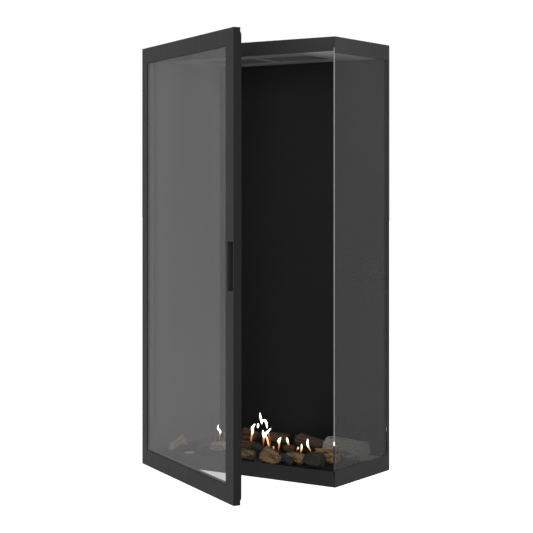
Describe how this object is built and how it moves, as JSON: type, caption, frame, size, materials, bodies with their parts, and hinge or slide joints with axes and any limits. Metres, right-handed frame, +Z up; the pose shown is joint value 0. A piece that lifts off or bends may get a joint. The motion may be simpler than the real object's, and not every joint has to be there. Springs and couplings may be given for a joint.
{
  "type": "corner fireplace",
  "caption": "Tall corner gas fireplace with a log fire, a frameless glass side and a full-height framed glass door on hinges.",
  "frame": {"origin": "centre of the cabinet's flat bottom face, on the surface that it stands on; the open door is left out of that centre", "axes": "+X to the right seen from the front, towards the glass side; +Y to the back; +Z up"},
  "size_m": [0.6414, 0.6308, 1.2],
  "materials": {
    "casing_coat": "matte",
    "firebox_black": "matte",
    "liner_coat": "matte",
    "ceramic_glass": "gloss",
    "seal_rope": "matte",
    "insulation": "matte",
    "bright_steel": "satin",
    "brass_parts": "satin",
    "log_split": "matte",
    "log_bark": "matte",
    "log_ash": "matte",
    "charcoal": "matte",
    "embers": "matte",
    "porcelain": "gloss"
  },
  "bodies": {
    "cabinet": {"base_pan": "casing_coat", "floor_bearers": "firebox_black", "hearth_floor": "firebox_black", "log_shelf": "firebox_black", "left_casing": "casing_coat", "left_jamb": "liner_coat", "left_liner": "liner_coat", "panel_retainer": "liner_coat", "left_insulation": "insulation", "back_panel": "firebox_black", "rear_insulation": "insulation", "rear_stiffeners": "bright_steel", "rear_casing": "casing_coat", "fixing_nuts": "bright_steel", "rear_post": "firebox_black", "rear_trim": "casing_coat", "side_glass": "ceramic_glass", "lower_glass_channel": "firebox_black", "upper_glass_channel": "firebox_black", "side_glass_seals": "seal_rope", "ceiling_plate": "liner_coat", "flue_collector": "liner_coat", "flue_socket": "bright_steel", "air_ring": "bright_steel", "top_plate": "casing_coat", "front_valance": "casing_coat", "side_valance": "casing_coat", "burner_pan": "firebox_black", "burner_deck": "bright_steel", "ember_bed": "embers", "gas_inlet": "brass_parts", "gas_pipe": "brass_parts", "injector": "brass_parts", "pilot_burner": "bright_steel", "spark_electrode": "porcelain", "floor_cap": "bright_steel", "front_logs": "log_split", "middle_logs": "log_bark", "back_logs": "log_bark", "big_side_log": "log_ash", "charcoal_lumps": "charcoal", "lower_hinge_bracket": "bright_steel", "upper_hinge_bracket": "bright_steel", "hinge_pins": "bright_steel", "casing_screws": "bright_steel"},
    "door": {"hinge_stile": "casing_coat", "latch_stile": "casing_coat", "top_rail": "casing_coat", "bottom_rail": "casing_coat", "corner_plugs": "bright_steel", "hinge_bushes": "brass_parts", "door_glass": "ceramic_glass", "glass_tape": "seal_rope", "side_beads": "casing_coat", "cross_beads": "casing_coat", "bead_screws": "bright_steel", "grip_cup": "firebox_black", "door_seal": "seal_rope", "catch_magnets": "bright_steel"}
  },
  "joints": [
    {"name": "door_hinge", "type": "hinge", "parent": "cabinet", "child": "door", "pos_m": [-0.3083, -0.1572, 0.6], "axis": [0, 0, -1], "range_deg": [-30.1, 59.9]}
  ]
}
